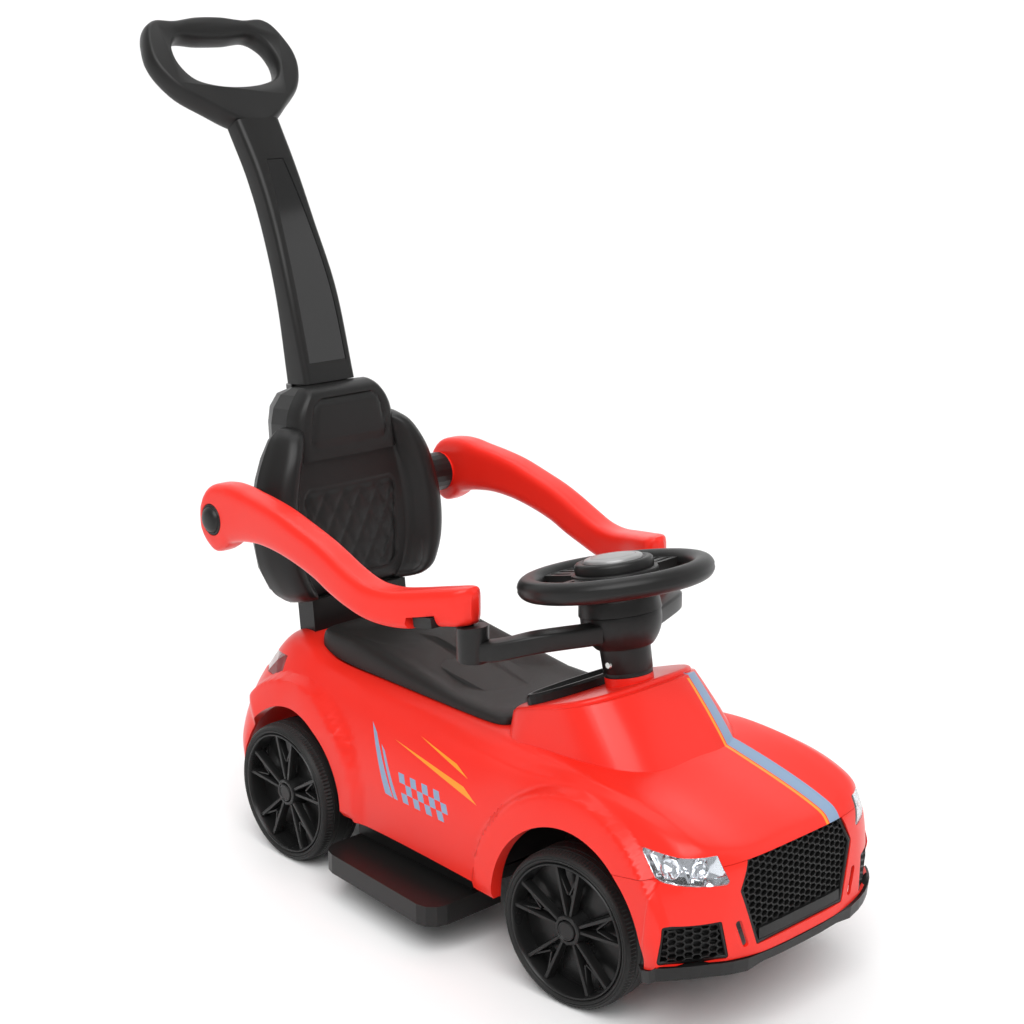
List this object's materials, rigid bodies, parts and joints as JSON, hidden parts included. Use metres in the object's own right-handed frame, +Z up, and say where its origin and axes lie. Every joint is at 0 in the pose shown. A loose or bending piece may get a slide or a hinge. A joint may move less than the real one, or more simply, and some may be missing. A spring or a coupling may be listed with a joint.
{
  "type": "ride-on push car",
  "caption": "Toddler ride-on car with a push handle, backrest, swinging guard arms, opening seat and a steering wheel that turns the front wheels.",
  "frame": {"origin": "on the ground under the middle of the car's length and width", "axes": "+Z up, the car drives towards -Y, -X is the driver's right"},
  "size_m": [0.347, 0.8637, 0.8416],
  "materials": {
    "red_plastic": "satin blow-moulded",
    "black_plastic": "satin, fine grain",
    "gloss_black": "glossy",
    "rim_plastic": "satin",
    "tyre_rubber": "matt hard plastic tread",
    "axle_steel": "drawn",
    "zinc_steel": "zinc plated",
    "chrome_plating": "bright metallised plastic",
    "silver_paint": "silver-grey painted plastic",
    "clear_lens": "clear polished plastic",
    "ruby_lens": "dark red, polished"
  },
  "bodies": {
    "car": {"body_shell": "red_plastic", "front_bumper": "red_plastic", "front_grille": "black_plastic", "side_intake_right": "black_plastic", "side_intake_left": "black_plastic", "front_lip": "black_plastic", "chassis": "black_plastic", "footrest_right": "black_plastic", "footrest_left": "black_plastic", "storage_bin": "black_plastic", "column_sleeve": "black_plastic", "cross_bar": "black_plastic", "column_cover": "black_plastic", "backrest_front": "black_plastic", "backrest_rear": "black_plastic", "backrest_base": "black_plastic", "hinge_sleeve_right": "black_plastic", "hinge_sleeve_left": "black_plastic", "dash_panel": "gloss_black", "rear_axle": "axle_steel", "kingpin_right": "axle_steel", "kingpin_left": "axle_steel", "arm_hinge_pin_right": "axle_steel", "arm_hinge_pin_left": "axle_steel", "column_screw": "zinc_steel", "headlamp_reflector_right": "chrome_plating", "headlamp_reflector_left": "chrome_plating", "headlamp_lens_right": "clear_lens", "headlamp_lens_left": "clear_lens", "tail_lamp_right": "ruby_lens", "tail_lamp_left": "ruby_lens"},
    "steering": {"steering_wheel": "black_plastic", "horn_pad": "black_plastic", "steering_shaft": "axle_steel"},
    "horn": {"horn_button": "silver_paint"},
    "right_knuckle": {"knuckle_right": "black_plastic"},
    "left_knuckle": {"knuckle_left": "black_plastic"},
    "track_rod": {"track_rod": "black_plastic"},
    "right_arm": {"guard_arm_right": "red_plastic", "pivot_cap_right": "black_plastic"},
    "left_arm": {"guard_arm_left": "red_plastic", "pivot_cap_left": "black_plastic"},
    "right_latch": {"arm_latch_right": "black_plastic"},
    "left_latch": {"arm_latch_left": "black_plastic"},
    "seat_lid": {"seat": "black_plastic"},
    "handle": {"push_handle": "black_plastic", "handle_insert": "gloss_black"},
    "lock_button": {"handle_lock_button": "black_plastic"},
    "front_right_wheel": {"tyre_front_right": "tyre_rubber", "rim_front_right": "rim_plastic", "hub_cap_front_right": "rim_plastic"},
    "rear_right_wheel": {"tyre_rear_right": "tyre_rubber", "rim_rear_right": "rim_plastic", "hub_cap_rear_right": "rim_plastic"},
    "front_left_wheel": {"tyre_front_left": "tyre_rubber", "rim_front_left": "rim_plastic", "hub_cap_front_left": "rim_plastic"},
    "rear_left_wheel": {"tyre_rear_left": "tyre_rubber", "rim_rear_left": "rim_plastic", "hub_cap_rear_left": "rim_plastic"}
  },
  "joints": [
    {"name": "steering_turn", "type": "hinge", "parent": "car", "child": "steering", "pos_m": [0, -0.2115, 0.31], "axis": [0, 0.2023, 0.9793], "range_deg": [-35.8, 24.2]},
    {"name": "right_knuckle_turn", "type": "hinge", "parent": "car", "child": "right_knuckle", "pos_m": [-0.08, -0.271, 0.0725], "axis": [0, 0, 1], "range_deg": [-35.8, 24.2]},
    {"name": "left_knuckle_turn", "type": "hinge", "parent": "car", "child": "left_knuckle", "pos_m": [0.08, -0.271, 0.0725], "axis": [0, 0, 1], "range_deg": [-35.8, 24.2]},
    {"name": "track_rod_slide", "type": "slide", "parent": "car", "child": "track_rod", "axis": [1, 0, 0], "range_m": [-0.0123, 0.0181]},
    {"name": "front_right_wheel_spin", "type": "hinge", "parent": "right_knuckle", "child": "front_right_wheel", "pos_m": [-0.11283, -0.27433, 0.0725], "axis": [0.9949, 0.1011, 0], "continuous": true},
    {"name": "front_left_wheel_spin", "type": "hinge", "parent": "left_knuckle", "child": "front_left_wheel", "pos_m": [0.11283, -0.26767, 0.0725], "axis": [0.9949, 0.1011, 0], "continuous": true},
    {"name": "rear_right_wheel_spin", "type": "hinge", "parent": "car", "child": "rear_right_wheel", "pos_m": [-0.113, 0.135, 0.0725], "axis": [1, 0, 0], "continuous": true},
    {"name": "rear_left_wheel_spin", "type": "hinge", "parent": "car", "child": "rear_left_wheel", "pos_m": [0.113, 0.135, 0.0725], "axis": [1, 0, 0], "continuous": true},
    {"name": "right_arm_swing", "type": "hinge", "parent": "car", "child": "right_arm", "pos_m": [-0.1524, 0.1965, 0.3573], "axis": [-1, 0, 0], "range_deg": [0, 100]},
    {"name": "right_latch_slide", "type": "slide", "parent": "right_arm", "child": "right_latch", "axis": [0, 0.9642, -0.2652], "range_m": [0, 0.005], "stiffness_N_per_m": 120, "springref_m": -0.003},
    {"name": "left_arm_swing", "type": "hinge", "parent": "car", "child": "left_arm", "pos_m": [0.1524, 0.1965, 0.3573], "axis": [-1, 0, 0], "range_deg": [0, 100]},
    {"name": "left_latch_slide", "type": "slide", "parent": "left_arm", "child": "left_latch", "axis": [0, 0.9642, -0.2652], "range_m": [0, 0.005], "stiffness_N_per_m": 120, "springref_m": -0.003},
    {"name": "horn_press", "type": "slide", "parent": "steering", "child": "horn", "axis": [0, -0.2023, -0.9793], "range_m": [0, 0.003], "stiffness_N_per_m": 200, "springref_m": -0.003},
    {"name": "seat_lift", "type": "hinge", "parent": "car", "child": "seat_lid", "pos_m": [0, 0.1478, 0.219], "axis": [-1, 0, 0], "range_deg": [0, 60]},
    {"name": "handle_lift", "type": "slide", "parent": "car", "child": "handle", "axis": [0, 0.1063, 0.9943], "range_m": [0, 0.08]},
    {"name": "lock_press", "type": "slide", "parent": "car", "child": "lock_button", "axis": [0, -0.9943, 0.1063], "range_m": [0, 0.002], "stiffness_N_per_m": 200, "springref_m": -0.002}
  ],
  "couplings": [
    {"joint": "right_knuckle_turn", "follows": "steering_turn", "ratio": 1},
    {"joint": "left_knuckle_turn", "follows": "steering_turn", "ratio": 1},
    {"joint": "track_rod_slide", "follows": "steering_turn", "m_per_rad": -0.0287}
  ]
}
